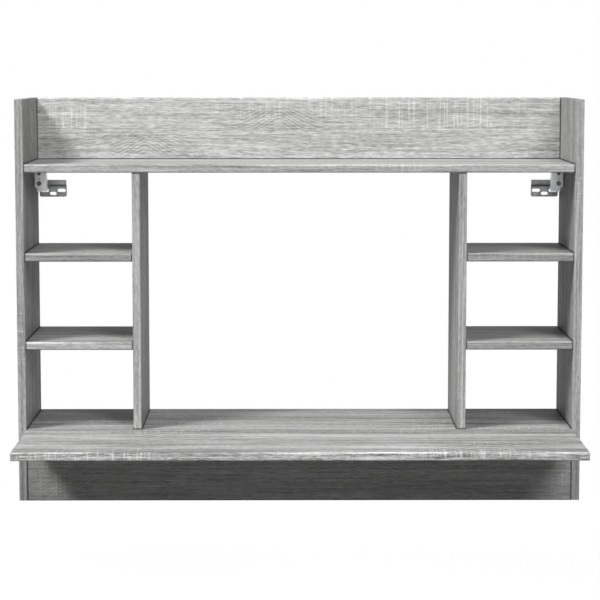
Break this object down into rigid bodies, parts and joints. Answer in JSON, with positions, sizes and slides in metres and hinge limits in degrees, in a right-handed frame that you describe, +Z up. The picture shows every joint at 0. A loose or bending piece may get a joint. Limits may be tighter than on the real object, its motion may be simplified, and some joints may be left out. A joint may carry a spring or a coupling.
{
  "type": "wall desk with shelf hutch",
  "caption": "Wall-hung writing desk with a shelf hutch above a deep desktop, in grey oak board, hung on wall plates by height- and depth-adjustable cabinet hangers",
  "frame": {"origin": "on the wall plane, midway between the centres of the two wall plates' lower slots", "axes": "+X to the right as seen from the room, +Y into the wall, +Z up"},
  "size_m": [1.05, 0.45, 0.75],
  "materials": {
    "grey_oak_board": "matte melamine with a grey oak grain",
    "plated_steel": "zinc plated sheet and turned steel",
    "cast_zinc": "raw cast zinc",
    "beech": "plain fluted beech"
  },
  "bodies": {
    "wall_plates": {"left_wall_plate": "plated_steel", "right_wall_plate": "plated_steel"},
    "hooks": {"left_hook": "plated_steel", "right_hook": "plated_steel"},
    "carriages": {"left_carriage": "cast_zinc", "right_carriage": "cast_zinc", "left_guide_rivets": "plated_steel", "right_guide_rivets": "plated_steel"},
    "lift_nuts": {"left_lift_nut": "plated_steel", "right_lift_nut": "plated_steel"},
    "desk": {"left_side_panel": "grey_oak_board", "right_side_panel": "grey_oak_board", "left_divider": "grey_oak_board", "right_divider": "grey_oak_board", "top_shelf": "grey_oak_board", "back_rail": "grey_oak_board", "desktop": "grey_oak_board", "apron": "grey_oak_board", "lower_left_shelf": "grey_oak_board", "lower_right_shelf": "grey_oak_board", "upper_left_shelf": "grey_oak_board", "upper_right_shelf": "grey_oak_board", "left_hanger_housing": "plated_steel", "right_hanger_housing": "plated_steel", "cam_locks": "cast_zinc", "cam_bolts": "plated_steel", "dowels": "beech", "housing_screws": "plated_steel"},
    "left_height_screw": {"left_height_screw": "plated_steel"},
    "left_depth_screw": {"left_depth_screw": "plated_steel"},
    "right_height_screw": {"right_height_screw": "plated_steel"},
    "right_depth_screw": {"right_depth_screw": "plated_steel"}
  },
  "joints": [
    {"name": "lift_off", "type": "slide", "parent": "wall_plates", "child": "hooks", "axis": [0, 0, 1], "range_m": [0, 0.012]},
    {"name": "height_adjust", "type": "slide", "parent": "hooks", "child": "carriages", "axis": [0, 0, 1], "range_m": [-0.005, 0.005]},
    {"name": "depth_adjust", "type": "slide", "parent": "carriages", "child": "desk", "axis": [0, -1, 0], "range_m": [0, 0.008]},
    {"name": "lift_nut_slide", "type": "slide", "parent": "carriages", "child": "lift_nuts", "axis": [0, -1, 0], "range_m": [-0.005, 0.005]},
    {"name": "left_height_screw_turn", "type": "hinge", "parent": "carriages", "child": "left_height_screw", "pos_m": [-0.501, -0.053, 0.042], "axis": [0, 1, 0], "range_deg": [-2250.5, 2250.5]},
    {"name": "left_depth_screw_turn", "type": "hinge", "parent": "desk", "child": "left_depth_screw", "pos_m": [-0.501, -0.062, 0.023], "axis": [0, -1, 0], "range_deg": [-0.5, 3600.5]},
    {"name": "right_height_screw_turn", "type": "hinge", "parent": "carriages", "child": "right_height_screw", "pos_m": [0.501, -0.053, 0.042], "axis": [0, 1, 0], "range_deg": [-2250.5, 2250.5]},
    {"name": "right_depth_screw_turn", "type": "hinge", "parent": "desk", "child": "right_depth_screw", "pos_m": [0.501, -0.062, 0.023], "axis": [0, -1, 0], "range_deg": [-0.5, 3600.5]}
  ],
  "couplings": [
    {"joint": "lift_nut_slide", "follows": "height_adjust", "ratio": 1},
    {"joint": "left_height_screw_turn", "follows": "height_adjust", "rad_per_m": 7854},
    {"joint": "left_depth_screw_turn", "follows": "depth_adjust", "rad_per_m": 7854},
    {"joint": "right_height_screw_turn", "follows": "height_adjust", "rad_per_m": 7854},
    {"joint": "right_depth_screw_turn", "follows": "depth_adjust", "rad_per_m": 7854}
  ]
}
